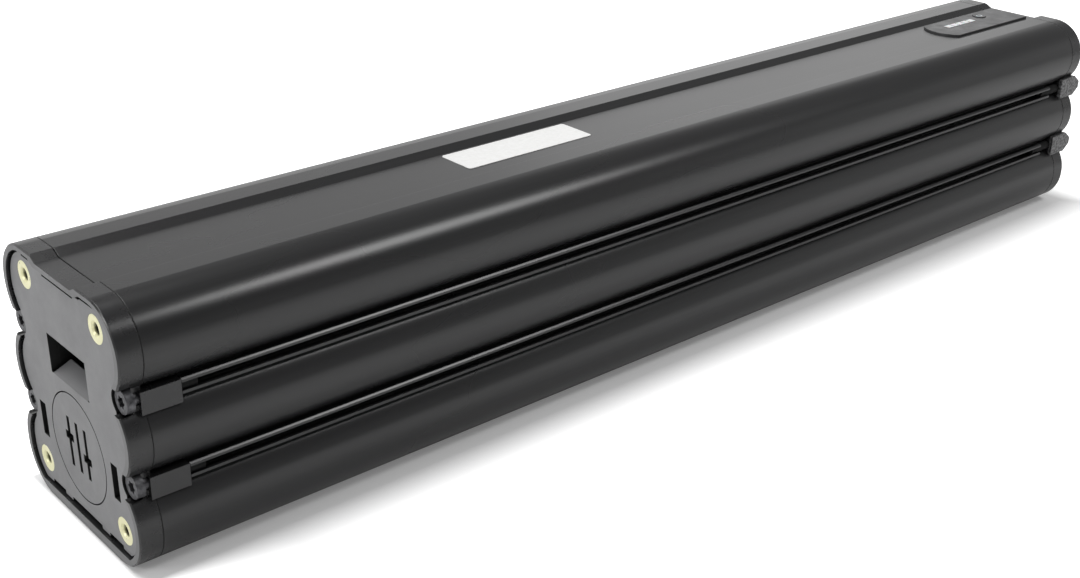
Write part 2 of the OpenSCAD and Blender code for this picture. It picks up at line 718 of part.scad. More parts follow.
module electronics_insulator() color("#c8c2a8") along_x(board_x - sheet_t, sheet_t)
    difference() {
        translate([0, board_z]) rect(board_w, board_h);
        for (p = board_yz) translate(p) circle(board_head_r + fit_gap);
        for (s = [-1, 1]) translate([s * (lead_r + strip_t), lead_z]) circle(lead_r + fit_gap);
        translate([0, ribbon_z + ribbon_t / 2])
            rect(ribbon_w + 2 * fit_gap, ribbon_t + 2 * fit_gap);
    }
module bms_board() color("#1f6b3b") along_x(board_x, board_t) difference() {
    translate([0, board_z]) rect(board_w, board_h);
    for (p = board_yz) translate(p) circle(board_screw_r + fit_gap);
}
chip_rows = 4;
shunt_w = 12;
shunt_t = 1.4;
plug_w = 14;
plug_h = 5;
plug_t = 6;
module bms_components() color("#202124") {
    x = board_x + board_t;
    for (s = [-1, 1], i = [0:chip_rows - 1])
        along_x(x, chip_h) translate([s * (shell_h / 2 + chip_s / 2 - cap_r),
            board_low + board_hole_in + standoff_r + (i % 2) * chip_pitch + chip_s
            + (i > 1 ? board_h - 2 * (board_hole_in + standoff_r) - 2 * chip_s - chip_pitch : 0)])
            rect(chip_s, chip_s);
    for (i = [-1:1]) at_points([[i * 2 * (cap_r + fit_gap), connector_z - shell_h / 2 - cap_r - fit_gap]])
        rod_x(x, cap_h, cap_r);
    along_x(x, shunt_t) translate([0, board_low + board_hole_in]) rect(shunt_w, strip_w / 2);
    along_x(x, plug_t) translate([0, board_low + board_h - board_hole_in]) rect(plug_w, plug_h);
}
module bms_standoffs() color("#d7d3c8") at_points(board_yz) difference() {
    rod_x(board_x + board_t, board_back - cap_t, standoff_r);
    rod_x(board_x, board_screw_len + over, board_screw_r + shank_clear);
}
module bms_screws() color("#a7a9ac") at_points(board_yz) {
    rod_x(board_x - board_head_h, board_head_h, board_head_r);
    rod_x(board_x, board_screw_len, board_screw_r);
}

// The ears fill the grooves at the connector end and reach past its face to a narrow tip
module ears_yz() for (z = groove_z, s = [-1, 1]) translate([0, z]) scale([s, 1])
    translate([tongue_in, -ear_half]) square([ear_y - tongue_in, 2 * ear_half]);
module ears() {
    along_x(far_x - ear_back, ear_back - cap_t + over) difference() {
        ears_yz();
        rows(lobe_r + tongue_clear);
    }
    along_x(far_x - cap_t, cap_t) ears_yz();
    for (z = groove_z, s = [-1, 1]) translate([far_x, s > 0 ? ear_y : -tongue_in, z])
        rotate([90, 0, 0]) linear_extrude(ear_y - tongue_in) polygon([[-over, -ear_half],
            [0, -ear_half], [ear_out, -ear_tip_half], [ear_out, ear_tip_half],
            [0, ear_half], [-over, ear_half]]);
}
module connector_end_cap() color("#3d3e40") difference() {
    union() { cap_slab(far_x - cap_t, true); ears(); }
    cap_land(far_x - cap_t);
    at_points(screw_yz) rod_x(far_x - seat_depth, seat_depth + ear_out + over,
        ear_head_r + hole_clear);
    at_points(screw_yz) rod_x(far_x - ear_back - over, ear_back + over,
        channel_r + hole_clear);
    at_points([[0, connector_z]]) {
        along_x(far_x - flange_t - seal_t, flange_t + seal_t + over)
            round_rect(flange_w + 2 * flange_gap, flange_h + 2 * flange_gap, connector_corner);
        along_x(far_x - cap_t - over, cap_t + over)
            round_rect(shell_w + 2 * fit_gap, shell_h + 2 * fit_gap, connector_corner);
    }
    at_points(flange_yz) rod_x(far_x - cap_t - over, cap_t + over, flange_screw_r + shank_clear);
}
module connector_end_gasket() gasket(far_x - cap_t - gasket_t);
module connector_cap_screws() color("#5a5b5e") at_points(screw_yz)
    translate([far_x - seat_depth + head_h, 0, 0]) mirror([1, 0, 0]) cap_screw(ear_head_r);

module socket_shell() color("#2a2b2d") at_points([[0, connector_z]]) difference() {
    union() {
        along_x(far_x - flange_t, flange_t)
            round_rect(flange_w, flange_h, connector_corner - flange_gap);
        along_x(shell_back, far_x - shell_back)
            round_rect(shell_w, shell_h, connector_corner - fit_gap);
    }
    along_x(far_x - mouth_depth, mouth_depth + over)
        round_rect(mouth_w, mouth_h, connector_corner - fit_gap - shell_wall / 2);
    contacts_2d_cut();
    translate([0, 0, -connector_z]) at_points(flange_yz)
        rod_x(far_x - flange_t - over, flange_t + 2 * over, flange_screw_r + shank_clear);
}
module contacts_2d_cut() along_x(shell_back - over, shell_wall + 2 * over) {
    blades_2d();
    pins_2d();
}
module blades_2d() for (s = [-1, 1]) translate([s * blade_pitch / 2, 0]) rect(blade_t, blade_w);
module pins_2d() for (i = [0:pin_count - 1], t = [-1, 1])
    translate([(i - (pin_count - 1) / 2) * pin_pitch, t * pin_pitch]) circle(pin_r);
module socket_seal() color("#151516") at_points([[0, connector_z]])
    along_x(far_x - flange_t - seal_t, seal_t) difference() {
        round_rect(flange_w, flange_h, connector_corner - flange_gap);
        round_rect(shell_w + 2 * fit_gap, shell_h + 2 * fit_gap, connector_corner);
        translate([0, -connector_z]) for (p = flange_yz) translate(p)
            circle(flange_screw_r + shank_clear);
    }
module socket_screws() color("#a7a9ac") at_points(flange_yz) {
    rod_x(far_x, flange_head_h, flange_head_r);
    rod_x(far_x - flange_screw_len, flange_screw_len, flange_screw_r);
}
contact_x = board_x + board_t;
contact_len = far_x - mouth_depth + contact_reach - contact_x;
module power_contacts() color("#c08a4a") at_points([[0, connector_z]])
    along_x(contact_x, contact_len) blades_2d();
module signal_contacts() color("#d4b04f") at_points([[0, connector_z]])
    along_x(contact_x, contact_len) pins_2d();

panel_nose_r = (panel_half * panel_half + panel_nose * panel_nose) / (2 * panel_nose);
module panel_outline() intersection() {
    translate([panel_x0, -panel_half]) square([panel_len, 2 * panel_half]);
    union() {
        translate([panel_x0 + panel_nose_r, 0]) circle(panel_nose_r, $fn = 128);
        translate([panel_x0 + panel_nose_r, -panel_half]) square([panel_len, 2 * panel_half]);
    }
}
module control_panel() color("#55565a") translate([0, 0, land_z]) difference() {
    linear_extrude(panel_t) panel_outline();
    translate([button_x, button_y, -over]) cylinder(h = panel_t + 2 * over, r = button_r + button_gap);
    translate([bar_x, bar_y, -over]) linear_extrude(panel_t + 2 * over)
        rect(bar_len + fit_gap, bar_w + fit_gap);
}
module light_bar() color("#f2f4f6") translate([bar_x, bar_y, panel_board_top + led_h])
    linear_extrude(panel_top - panel_board_top - led_h + bar_rise) rect(bar_len, bar_w);
led_h = 1;
led_s = 2.4;
led_count = 5;
module panel_leds() color("#f7f3c8") for (i = [0:led_count - 1])
    translate([bar_x + (i - (led_count - 1) / 2) * bar_len / led_count, bar_y, panel_board_top])
        linear_extrude(led_h) rect(led_s, led_s);
module panel_board() color("#1f6b3b")
    translate([panel_x0 + panel_nose, -panel_board_half, panel_board_top - panel_board_t])
        cube([button_x + switch_half + over - panel_x0 - panel_nose,
            2 * panel_board_half, panel_board_t]);
module switch_body() color("#8a8c90") translate([button_x, button_y, panel_board_top])
    difference() {
        linear_extrude(switch_top - panel_board_top) rect(2 * switch_half, 2 * switch_half);
        translate([0, 0, button_travel]) cylinder(h = switch_top, r = plunger_r + plunger_gap);
    }
module switch_plunger() color("#1a1a1b")
    translate([button_x, button_y, panel_board_top + 2 * button_travel])
        cylinder(h = plunger_top - panel_board_top - 2 * button_travel, r = plunger_r);
module power_button() color("#6a6c70") translate([button_x, button_y, 0]) {
    translate([0, 0, collar_low]) cylinder(h = button_top - collar_low, r = button_r);
    translate([0, 0, collar_low]) cylinder(h = collar_t, r = collar_r);
    translate([0, 0, plunger_top]) cylinder(h = collar_low - plunger_top, r = stem_r);
}

module rating_label() color("#f4f4f2")
    translate([latch_x + label_front, label_y, land_z]) linear_extrude(label_t)
        round_rect(label_len, label_w, label_corner);

housing();
latch_end_cap();
latch_end_plate();
latch_pocket();
threaded_inserts();
vent_cap();
vent_membrane();
latch_cap_screws();
latch_end_gasket();
latch_insulator();
latch_foam();
cell_layer_1();
cell_layer_2();
cell_layer_3();
cell_layer_4();
cell_layer_5();
cell_holders();
nickel_strips();
main_lead_positive();
main_lead_negative();
fuse_holder();
sense_ribbon();
temperature_sensors();
electronics_insulator();
bms_board();
bms_components();
bms_standoffs();
bms_screws();
connector_end_cap();
connector_end_gasket();
connector_cap_screws();
socket_shell();
socket_seal();
socket_screws();
power_contacts();
signal_contacts();
control_panel();
light_bar();
panel_board();
panel_leds();
switch_body();
switch_plunger();
power_button();
rating_label();
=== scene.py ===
"""Dresses the frame battery in its materials, adds the small surface pieces and sets the studio."""
import json
import math
import bmesh
import bpy
from mathutils import Matrix, Vector


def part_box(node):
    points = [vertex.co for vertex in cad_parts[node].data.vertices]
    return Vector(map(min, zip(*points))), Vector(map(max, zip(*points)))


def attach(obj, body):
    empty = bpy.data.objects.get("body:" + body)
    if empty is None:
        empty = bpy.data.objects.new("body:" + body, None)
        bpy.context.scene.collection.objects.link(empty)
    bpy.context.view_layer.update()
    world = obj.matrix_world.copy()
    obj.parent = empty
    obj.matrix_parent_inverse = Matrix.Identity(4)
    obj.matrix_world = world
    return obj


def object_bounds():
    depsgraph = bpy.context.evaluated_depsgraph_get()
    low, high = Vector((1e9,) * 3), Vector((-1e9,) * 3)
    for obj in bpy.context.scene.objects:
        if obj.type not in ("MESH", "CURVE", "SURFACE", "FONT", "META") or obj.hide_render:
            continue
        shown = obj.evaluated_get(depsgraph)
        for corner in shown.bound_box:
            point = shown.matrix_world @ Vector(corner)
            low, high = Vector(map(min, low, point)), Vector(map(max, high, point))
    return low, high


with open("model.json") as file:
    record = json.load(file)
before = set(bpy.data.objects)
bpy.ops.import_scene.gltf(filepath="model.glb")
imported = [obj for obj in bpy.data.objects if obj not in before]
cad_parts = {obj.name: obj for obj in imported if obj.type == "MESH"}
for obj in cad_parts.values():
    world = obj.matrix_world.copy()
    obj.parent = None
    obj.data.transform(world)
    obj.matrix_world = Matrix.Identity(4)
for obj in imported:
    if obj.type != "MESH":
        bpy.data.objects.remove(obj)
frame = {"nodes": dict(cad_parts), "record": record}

cad_box = [list(map(float, c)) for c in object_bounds()]
nodes = frame["nodes"]
scene = bpy.context.scene
MM = 0.001

# Places on the part, in metres
FRONT_X = cad_box[0][0]
FAR_X = cad_box[1][0]
HALF_WIDTH = cad_box[1][1]
PLATE_FACE = FRONT_X + 0.9 * MM
# RIM_END_X bounds the cap's end faces that are painted lighter (painted light).
RIM_END_X = FRONT_X + 0.9 * MM
# POCKET_END_X and POCKET_Y bound the cap's pockets that are painted near-black (painted shade).
POCKET_END_X = FRONT_X + 3.8 * MM
RAMP_END_X = FRONT_X + 6.7 * MM
RAMP_HALF = 10.7 * MM
SHANK_X = 196.2 * MM
EAR_X = 189.8 * MM
EAR_Y = 30.1 * MM
POCKET_Y = 24.3 * MM
MID_Z = 37.2 * MM
GROOVE_OFF = 11.7 * MM
GROOVE_HALF = 4 * MM
# Depths into the insert bores over which their painted shade deepens.
BORE_LIT, BORE_DARK = 0.3 * MM, 1.1 * MM

# Camera: a pinhole fitted to points of the photograph, turned about AIM and shifted in its own plane
AIM = Vector((-0.0017, 0, 0.035))
AZIMUTH, ELEVATION, ROLL = -0.713817159, 0.433872448, 0.01091364
DISTANCE = 0.493398865
SHIFT_RIGHT, SHIFT_UP = -0.036093234, -0.023826926
FOCAL_PX = 1485.5
PHOTO_WIDTH_PX = 1080
SENSOR_MM = 36

back = Vector((math.sin(AZIMUTH) * math.cos(ELEVATION), -math.cos(AZIMUTH) * math.cos(ELEVATION),
               math.sin(ELEVATION)))
level_right = Vector((0, 0, 1)).cross(back).normalized()
level_up = back.cross(level_right)
right = level_right * math.cos(ROLL) + level_up * math.sin(ROLL)
up = level_up * math.cos(ROLL) - level_right * math.sin(ROLL)
eye = AIM + back * DISTANCE + right * SHIFT_RIGHT + up * SHIFT_UP
cam_data = bpy.data.cameras.new("camera")
cam = bpy.data.objects.new("camera", cam_data)
scene.collection.objects.link(cam)
cam_data.sensor_fit = "HORIZONTAL"
cam_data.sensor_width = SENSOR_MM
cam_data.lens = FOCAL_PX * SENSOR_MM / PHOTO_WIDTH_PX
cam_data.clip_start = 10 * MM
cam.matrix_world = Matrix(((right.x, up.x, back.x, eye.x), (right.y, up.y, back.y, eye.y),
                           (right.z, up.z, back.z, eye.z), (0, 0, 0, 1)))
scene.camera = cam


# Materials
class Nodes:
    """A short way to write a node tree."""

    def __init__(self, name):
        self.mat = bpy.data.materials.new(name)
        self.mat.use_nodes = True
        self.tree = self.mat.node_tree
        self.bsdf = self.tree.nodes["Principled BSDF"]
        self.coord = self.add("ShaderNodeTexCoord").outputs["Object"]

    def add(self, kind, inputs=None, **props):
        node = self.tree.nodes.new(kind)
        for key, value in props.items():
            setattr(node, key, value)
        for key, value in (inputs or {}).items():
            self.put(node.inputs[key], value)
        return node

    def put(self, socket, value):
        """Links an output to the socket, or sets a value or an RGB colour on it."""
        if isinstance(value, bpy.types.NodeSocket):
            self.tree.links.new(value, socket)
        elif isinstance(value, tuple) and len(value) == 3 and socket.type == "RGBA":
            socket.default_value = (*value, 1)
        else:
            socket.default_value = value

    def noise(self, scale, stretch=(1, 1, 1), detail=3.0):
        place = self.add("ShaderNodeMapping", {"Vector": self.coord, "Scale": stretch})
        return self.add("ShaderNodeTexNoise", {"Vector": place.outputs["Vector"], "Scale": scale,
                                               "Detail": detail, "Roughness": 0.55}).outputs["Fac"]

    def spread(self, fac, low, high, start=0.3, end=0.7):
        """Maps start to end onto low to high."""
        return self.add("ShaderNodeMapRange", {"Value": fac, "From Min": start, "From Max": end,
                                               "To Min": low, "To Max": high}).outputs["Result"]

    def mix(self, blend_type, fac, a, b):
        node = self.add("ShaderNodeMix", data_type="RGBA", blend_type=blend_type)
        for index, value in ((0, fac), (6, a), (7, b)):
            self.put(node.inputs[index], value)
        return node.outputs[2]

    def blend(self, fac, a, b):
        return self.mix("MIX", fac, a, b)

    def dim(self, colour, factor):
        """Multiplies a colour by a factor."""
        return self.mix("MULTIPLY", 1.0, colour, factor)

    def math(self, op, a, b=0.0):
        node = self.add("ShaderNodeMath", operation=op)
        self.put(node.inputs[0], a)
        self.put(node.inputs[1], b)
        return node.outputs[0]

    def bump(self, height, distance, strength=1.0, normal=None):
        node = self.add("ShaderNodeBump", {"Height": height, "Distance": distance,
                                           "Strength": strength})
        if normal:
            self.put(node.inputs["Normal"], normal)
        return node.outputs["Normal"]

    def occlusion(self, distance, low, start, end):
        """A painted-shade factor that falls from 1 on open faces to low in narrow gaps; colours multiplied
        by it are darkened where shade falls.
        """
        node = self.add("ShaderNodeAmbientOcclusion", {"Distance": distance}, samples=8)
        return self.spread(node.outputs["AO"], low, 1.0, start, end)

    def part(self, output, axis):
        """One coordinate of the place ("Object") or of the surface's direction ("Normal")."""
        coord = self.add("ShaderNodeTexCoord").outputs[output]
        return self.add("ShaderNodeSeparateXYZ", {"Vector": coord}).outputs[axis]

    def within(self, value, low, high):
        """1 where low < value < high."""
        return self.math("MULTIPLY", self.math("GREATER_THAN", value, low),
                         self.math("LESS_THAN", value, high))

    def all_of(self, *masks):
        result = masks[0]
        for mask in masks[1:]:
            result = self.math("MULTIPLY", result, mask)
        return result

    def round_edges(self, radius):
        return self.add("ShaderNodeBevel", {"Radius": radius}, samples=6).outputs["Normal"]

    def set(self, **values):
        for key, value in values.items():
            self.put(self.bsdf.inputs[key.replace("_", " ")], value)
        return self.mat


VARY = 0.12
FINE_DEPTH = 0.03 * MM
METAL_DEPTH = 0.01 * MM
EDGE_RADIUS = 0.2 * MM
METAL_EDGE_RADIUS = 0.15 * MM
FACES_FRONT = -0.85
FACES_ASIDE = -0.5
FACES_UP = 0.5


def shade(colour, factor):
    return tuple(min(1.0, v * factor) for v in colour)


def varied(n, fac, colour):
    """A colour that varies a little each way with a noise."""
    return n.blend(n.spread(fac, 0, 1), shade(colour, 1 - VARY), shade(colour, 1 + VARY))


def moulded(name, colour, rough=0.5, grain=2600, depth=FINE_DEPTH, edge=EDGE_RADIUS):
    """Moulded plastic with a fine texture, slight flow marks and softened edges."""
    n = Nodes(name)
    base = varied(n, n.noise(70, detail=4), colour)
    fine = n.noise(grain, detail=2)
    normal = n.round_edges(edge) if edge else None
    return n.set(Base_Color=base, Roughness=n.spread(n.noise(260), rough - 0.05, rough + 0.06),
                 Normal=n.bump(fine, depth, 0.5, normal))


def metal(name, colour, rough, stretch=(1, 1, 1)):
    """Bare or plated metal; stretch draws its grain out along an axis."""
    n = Nodes(name)
    streak = n.noise(900, stretch, detail=4)
    return n.set(Base_Color=varied(n, streak, colour), Metallic=1.0,
                 Roughness=n.spread(n.noise(400), rough - 0.07, rough + 0.08),
                 Normal=n.bump(streak, METAL_DEPTH, 0.6, n.round_edges(METAL_EDGE_RADIUS)))


def anodised(name):
    """Dark anodised extrusion: drawn streaks along X, a fine blasted grain, softened lips."""
    n = Nodes(name)
    streak = n.noise(1500, (0.012, 1, 1), detail=3)
    cloud = n.noise(9, (0.5, 1, 1), detail=4)
    blast = n.noise(5200, detail=1)
    tone = n.blend(n.spread(streak, 0, 1), (0.0145, 0.0145, 0.0153), (0.0192, 0.0192, 0.02))
    tone = n.blend(n.spread(cloud, 0, 0.5), tone, (0.0205, 0.0205, 0.0213))
    # Painted shade: the tone is darkened in grooves, slots and gaps, where shade falls.
    tone = n.dim(tone, n.occlusion(4 * MM, low=0.12, start=0.3, end=0.75))
    normal = n.bump(streak, 0.005 * MM, 0.4, n.round_edges(0.25 * MM))
    return n.set(Base_Color=tone, Specular_IOR_Level=0.8,
                 Roughness=n.spread(cloud, 0.26, 0.30), Normal=n.bump(blast, 0.01 * MM, 0.4, normal))


def end_cap(name):
    """Moulded end cap: dark sides, a rim facing -X painted lighter as if lit from that side (painted
    light), pockets round the screws painted black (painted shade), painted shade in its gaps, rough ears.
    """
    n = Nodes(name)
    cloud = n.noise(70, detail=4)
    fine = n.noise(3000, detail=2)
    rough_grain = n.noise(1050, detail=4)
    side = n.blend(n.spread(cloud, 0, 1), (0.0165, 0.0165, 0.0175), (0.021, 0.021, 0.022))
    # Painted light: the lighter colour given to faces looking along -X near the end, as light from that
    # side would show them.
    face = n.blend(n.spread(cloud, 0, 1), (0.13, 0.13, 0.134), (0.165, 0.165, 0.169))
    ear = n.blend(n.spread(rough_grain, 0, 1, 0.4, 0.6), (0.025, 0.025, 0.027), (0.22, 0.22, 0.222))
    x, y, z = (n.part("Object", axis) for axis in "XYZ")
    off_side = n.math("ABSOLUTE", y)
    off_middle = n.math("ABSOLUTE", n.math("SUBTRACT", z, MID_Z))
    groove = n.within(off_middle, GROOVE_OFF - GROOVE_HALF, GROOVE_OFF + GROOVE_HALF)
    # Painted light: mask of the faces looking along -X near the end, which take the lighter colour.
    lit_front = n.all_of(n.math("LESS_THAN", n.part("Normal", "X"), FACES_FRONT),
                     n.math("LESS_THAN", x, RIM_END_X))
    ears = n.all_of(groove, n.math("GREATER_THAN", x, EAR_X),
                    n.math("GREATER_THAN", off_side, EAR_Y))
    # Painted shade: the pockets round the screws are painted near-black.
    pocket = n.all_of(groove, n.math("GREATER_THAN", off_side, POCKET_Y),
                      n.math("LESS_THAN", x, POCKET_END_X))
    base = n.blend(pocket, side, (0.004, 0.004, 0.004))
    base = n.blend(ears, n.blend(lit_front, base, face), ear)
    # Painted shade: darker in narrow gaps and recesses.
    base = n.dim(base, n.occlusion(3 * MM, low=0.3, start=0.3, end=0.7))
    height = n.math("MULTIPLY", rough_grain, n.math("MULTIPLY", ears, 3.0))
    matt = n.math("MULTIPLY", n.math("MAXIMUM", ears, lit_front), 0.15)
    rough = n.math("ADD", n.spread(n.noise(260), 0.26, 0.31), matt)
    return n.set(Base_Color=base, Roughness=rough, Specular_IOR_Level=0.8,
                 Normal=n.bump(n.math("ADD", fine, height), FINE_DEPTH, 0.5, n.round_edges(EDGE_RADIUS)))


def insert_brass(name):
    """Turned brass, pale on the face, with painted shade darkening it down the bore."""
    n = Nodes(name)
    streak = n.noise(900, (1, 0.2, 0.2), detail=4)
    base = n.blend(n.spread(streak, 0, 1), (0.95, 0.92, 0.56), (1.0, 0.97, 0.64))
    # Painted shade: the colour darkens with depth into the bore, between BORE_LIT and BORE_DARK.
    depth = n.math("SUBTRACT", n.part("Object", "X"), PLATE_FACE)
    base = n.dim(base, n.spread(depth, 1.0, 0.03, BORE_LIT, BORE_DARK))
    return n.set(Base_Color=base, Metallic=0.22, Roughness=n.spread(n.noise(400), 0.27, 0.42),
                 Normal=n.bump(streak, METAL_DEPTH, 0.6, n.round_edges(METAL_EDGE_RADIUS)))


def front_plate(name, low, high):
    """Light moulded plate whose window and slot walls are painted near-black as shade (painted shade), with
    painted shade in narrow gaps.
    """
    n = Nodes(name)
    cloud = n.noise(60, (0.5, 1, 1), detail=5)
    fine = n.noise(2200, detail=2)
    face = n.blend(n.spread(cloud, 0, 1), low, high)
    # Painted shade: faces not looking along -X, the walls of the window and slots, are painted near-black.
    shaded_wall = n.math("GREATER_THAN", n.part("Normal", "X"), FACES_ASIDE)
    base = n.blend(shaded_wall, face, (0.008, 0.008, 0.008))
    # Painted shade: darker in narrow gaps.
    base = n.dim(base, n.occlusion(2.5 * MM, low=0.35, start=0.25, end=0.6))
    return n.set(Base_Color=base, Roughness=n.spread(n.noise(260), 0.48, 0.6),
                 Normal=n.bump(fine, FINE_DEPTH, 0.5, n.round_edges(EDGE_RADIUS)))


def latch_liner(name):
    """Pocket behind the window painted black as shade (painted shade), with a ramp nearly as light as the
    plate.
    """
    n = Nodes(name)
    ramp = n.all_of(n.math("GREATER_THAN", n.part("Normal", "Z"), FACES_UP),
                    n.within(n.part("Object", "X"), FRONT_X - MM, RAMP_END_X),
                    n.within(n.part("Object", "Y"), -RAMP_HALF, RAMP_HALF))
    # Painted shade: all but the ramp's upward face is painted near-black.
    base = n.blend(ramp, (0.006, 0.006, 0.006), (0.20, 0.20, 0.205))
    return n.set(Base_Color=base, Roughness=n.spread(n.noise(260), 0.5, 0.62),
                 Normal=n.bump(n.noise(2200), FINE_DEPTH, 0.5, n.round_edges(EDGE_RADIUS)))


def cap_screw(name):
    """Zinc screw: a bright head, and a shank painted near-black and rough as shade (painted shade)."""
    n = Nodes(name)
    grain = n.noise(900, detail=4)
    head = n.math("GREATER_THAN", n.math("ABSOLUTE", n.part("Object", "X")), SHANK_X)
    bright = n.blend(n.spread(grain, 0, 1), (0.07, 0.07, 0.075), (0.2, 0.2, 0.21))
    # Painted shade: the shank is near-black.
    base = n.blend(head, (0.004, 0.004, 0.004), bright)
    rough = n.math("SUBTRACT", 0.85, n.math("MULTIPLY", head, n.spread(n.noise(400), 0.33, 0.47)))
    return n.set(Base_Color=base, Metallic=n.spread(head, 0.0, 0.8, 0.0, 1.0), Roughness=rough,
                 Normal=n.bump(grain, FINE_DEPTH, 0.7, n.round_edges(EDGE_RADIUS)))


def board_green(name):
    """Solder mask with traces and pads seen through it."""
    n = Nodes(name)
    trace = n.add("ShaderNodeTexVoronoi", {"Vector": n.coord, "Scale": 420.0}, distance="MANHATTAN",
                  feature="DISTANCE_TO_EDGE").outputs["Distance"]
    mask = n.math("LESS_THAN", trace, 0.06)
    base = n.blend(mask, (0.012, 0.11, 0.035), (0.02, 0.2, 0.065))
    return n.set(Base_Color=base, Roughness=n.spread(n.noise(300), 0.2, 0.32),
                 Normal=n.bump(mask, 0.02 * MM, 0.6))


def sleeve(name):
    """Plain shrink sleeve of a cell, slightly wrinkled."""
    n = Nodes(name)
    wrinkle = n.noise(160, (1, 0.25, 0.25), detail=3)
    base = n.blend(n.spread(wrinkle, 0, 1), (0.035, 0.23, 0.26), (0.05, 0.3, 0.33))
    return n.set(Base_Color=base, Roughness=n.spread(wrinkle, 0.28, 0.42), Coat_Weight=0.3,
                 Normal=n.bump(wrinkle, 0.06 * MM, 0.4))


def film(name):
    """White label film with a faint fibre tone and small waves from the rub-down."""
    n = Nodes(name)
    wave = n.noise(120, (0.4, 1, 1), detail=2)
    base = n.blend(n.spread(n.noise(900), 0, 1), (0.87, 0.87, 0.855), (0.94, 0.94, 0.93))
    return n.set(Base_Color=base, Roughness=n.spread(wave, 0.36, 0.48),
                 Normal=n.bump(wave, 0.04 * MM, 0.3))


def milky(name, colour, rough):
    """Plastic that lets a little light into itself."""
    n = Nodes(name)
    base = n.blend(n.spread(n.noise(500), 0, 1), shade(colour, 0.94), colour)
    return n.set(Base_Color=base, Roughness=n.spread(n.noise(700), rough, rough + 0.08),
                 Subsurface_Weight=0.15, Subsurface_Scale=MM,
                 Normal=n.bump(n.noise(1500), 0.01 * MM, 0.3, n.round_edges(EDGE_RADIUS)))


def woven(name, colour):
    """Fine woven membrane."""
    n = Nodes(name)
    threads = [n.add("ShaderNodeTexWave", {"Vector": n.coord, "Scale": 900.0},
                     bands_direction=axis).outputs["Fac"] for axis in "YZ"]
    weave = n.math("MAXIMUM", *threads)
    base = n.blend(weave, shade(colour, 0.6), shade(colour, 1.3))
    return n.set(Base_Color=base, Roughness=n.spread(weave, 0.7, 0.85),
                 Normal=n.bump(weave, 0.04 * MM, 0.7))


MATERIALS = {
    "housing": anodised("tube_anodised"),
    "cap": end_cap("cap_moulded"),
    "plate": front_plate("plate_moulded", (0.215, 0.215, 0.22), (0.265, 0.265, 0.27)),
    "pocket": latch_liner("pocket_moulded"),
    "brass": insert_brass("brass_turned"),
    "vent": front_plate("vent_moulded", (0.21, 0.21, 0.215), (0.26, 0.26, 0.265)),
    "membrane": woven("membrane_weave", (0.03, 0.03, 0.03)),
    "screw": cap_screw("screw_dark_zinc"),
    "screw_bright": metal("screw_zinc", (0.60, 0.61, 0.62), rough=0.27),
    "gasket": moulded("gasket_rubber", (0.016, 0.016, 0.016), rough=0.75, grain=1600),
    "insulator": moulded("insulator_sheet", (0.60, 0.56, 0.45), rough=0.6, grain=900),
    "foam": moulded("foam_cells", (0.04, 0.04, 0.042), rough=0.9, grain=1100, depth=0.2 * MM, edge=0),
    "cell": sleeve("cell_sleeve"),
    "holder": moulded("holder_moulded", (0.03, 0.03, 0.035)),
    "nickel": metal("nickel_strip", (0.66, 0.63, 0.57), rough=0.25, stretch=(1, 1, 0.05)),
    "lead_red": moulded("lead_red_silicone", (0.42, 0.02, 0.015), rough=0.45),
    "lead_black": moulded("lead_black_silicone", (0.018, 0.018, 0.018), rough=0.45),
    "fuse": moulded("fuse_body", (0.70, 0.28, 0.04), rough=0.35),
    "ribbon": moulded("ribbon_cable", (0.30, 0.31, 0.33), rough=0.45, grain=800),
    "board": board_green("board_mask"),
    "component": moulded("component_epoxy", (0.022, 0.022, 0.024), rough=0.4),
    "standoff": moulded("standoff_nylon", (0.66, 0.63, 0.55)),
    "socket": moulded("socket_moulded", (0.035, 0.035, 0.037), rough=0.42),
    "contact": metal("contact_plated", (0.80, 0.58, 0.26), rough=0.22),
    "panel": moulded("panel_moulded", (0.075, 0.075, 0.077), rough=0.36, grain=3400),
    "light": milky("light_bar_milky", (0.86, 0.88, 0.89), rough=0.3),
    "led": milky("led_clear", (0.82, 0.80, 0.62), rough=0.15),
    "switch": moulded("switch_body", (0.22, 0.22, 0.24), rough=0.35),
    "button": moulded("button_moulded", (0.06, 0.06, 0.064), rough=0.36),
    "label": film("label_film"),
}
for entry in frame["record"]["subparts"]:
    mesh = nodes[entry["node"]].data
    mesh.materials.clear()
    mesh.materials.append(MATERIALS[entry["material_slot"]])


# Added pieces
def piece(name, bm, slot, body="pack", smooth=False):
    """A new mesh object that rides on a body and takes a slot's material."""
    mesh = bpy.data.meshes.new(name)
    bmesh.ops.recalc_face_normals(bm, faces=bm.faces[:])
    bm.to_mesh(mesh)
    bm.free()
    for poly in mesh.polygons:
        poly.use_smooth = smooth
    obj = bpy.data.objects.new(name, mesh)
    scene.collection.objects.link(obj)
    mesh.materials.append(MATERIALS[slot])
    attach(obj, body)


def bridge(bm, rows, closed=False):
    """Faces between neighbouring rows of points, and one over each end."""
    sides = len(rows[0]) if closed else len(rows[0]) - 1
    for p, q in zip(rows, rows[1:]):
        for i in range(sides):
            j = (i + 1) % len(p)
            bm.faces.new((p[i], p[j], q[j], q[i]))
    bm.faces.new(rows[0])
    bm.faces.new(rows[-1][::-1])


# Thread of the inserts, in millimetres: the places of the four bores, and the thread's section
UPPER_INSERT, LOWER_INSERT = (20.1, 65.0), (22.6, 10.1)
INSERTS = [(side * y, z) for y, z in (UPPER_INSERT, LOWER_INSERT) for side in (-1, 1)]
THREAD_START, THREAD_PITCH, THREAD_TURNS, THREAD_STEPS = 0.9, 0.7, 10, 28
THREAD_SECTION = ((-0.34, 1.68), (0.0, 1.36), (0.34, 1.68))


